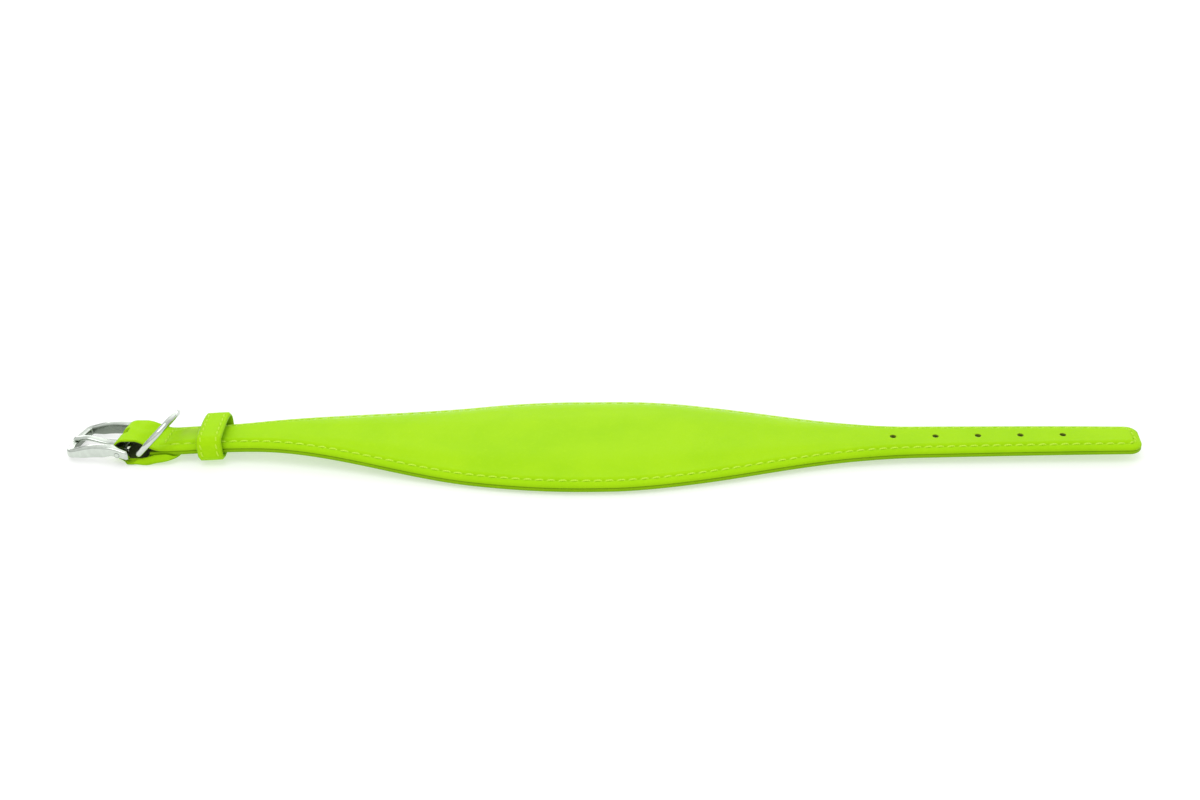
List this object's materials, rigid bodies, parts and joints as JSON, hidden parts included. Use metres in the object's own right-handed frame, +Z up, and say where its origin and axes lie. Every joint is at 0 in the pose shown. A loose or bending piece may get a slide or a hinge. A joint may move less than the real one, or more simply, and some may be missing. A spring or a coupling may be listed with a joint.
{
  "type": "dog collar",
  "caption": "Wide leather dog collar laid flat, with a leaf-shaped middle, a tongue buckle, a lead ring in a stitched fold, a keeper loop and a punched strap end.",
  "frame": {"origin": "on the flat underside, at the middle of the widest part, on the strap's middle line", "axes": "+X along the strap to its punched tip, +Y across the strap, +Z up out of the grain side"},
  "size_m": [0.3793, 0.0574, 0.0162],
  "materials": {
    "leather": "smooth",
    "lining": "smooth",
    "tape": "woven",
    "foam": "soft",
    "thread": "twisted",
    "metal": "bright"
  },
  "bodies": {
    "strap": {"outer_leather": "leather", "lining_leather": "lining", "stay_tape": "tape", "center_pad": "foam", "edge_thread_top": "thread", "edge_thread_bottom": "thread", "fold_thread": "thread"},
    "buckle": {"buckle_frame": "metal", "heel_bar": "metal"},
    "tongue": {"buckle_tongue": "metal"},
    "ring": {"d_ring": "metal"},
    "keeper": {"keeper_loop": "leather", "keeper_thread": "thread"}
  },
  "joints": [
    {"name": "frame_swing", "type": "hinge", "parent": "strap", "child": "buckle", "pos_m": [-0.16012, 0, 0.0033], "axis": [0.1392, 0.9903, 0], "range_deg": [-15, 30]},
    {"name": "tongue_swing", "type": "hinge", "parent": "buckle", "child": "tongue", "pos_m": [-0.16012, 0, 0.0033], "axis": [0.1392, 0.9903, 0], "range_deg": [0, 65]},
    {"name": "d_ring_swing", "type": "hinge", "parent": "strap", "child": "ring", "pos_m": [-0.1522, 0, 0.00285], "axis": [-0.2419, -0.9703, 0], "range_deg": [-8, 52]},
    {"name": "keeper_slide", "type": "slide", "parent": "strap", "child": "keeper", "axis": [0.9982, 0, 0.0599], "range_m": [-0.005, 0.006]}
  ]
}
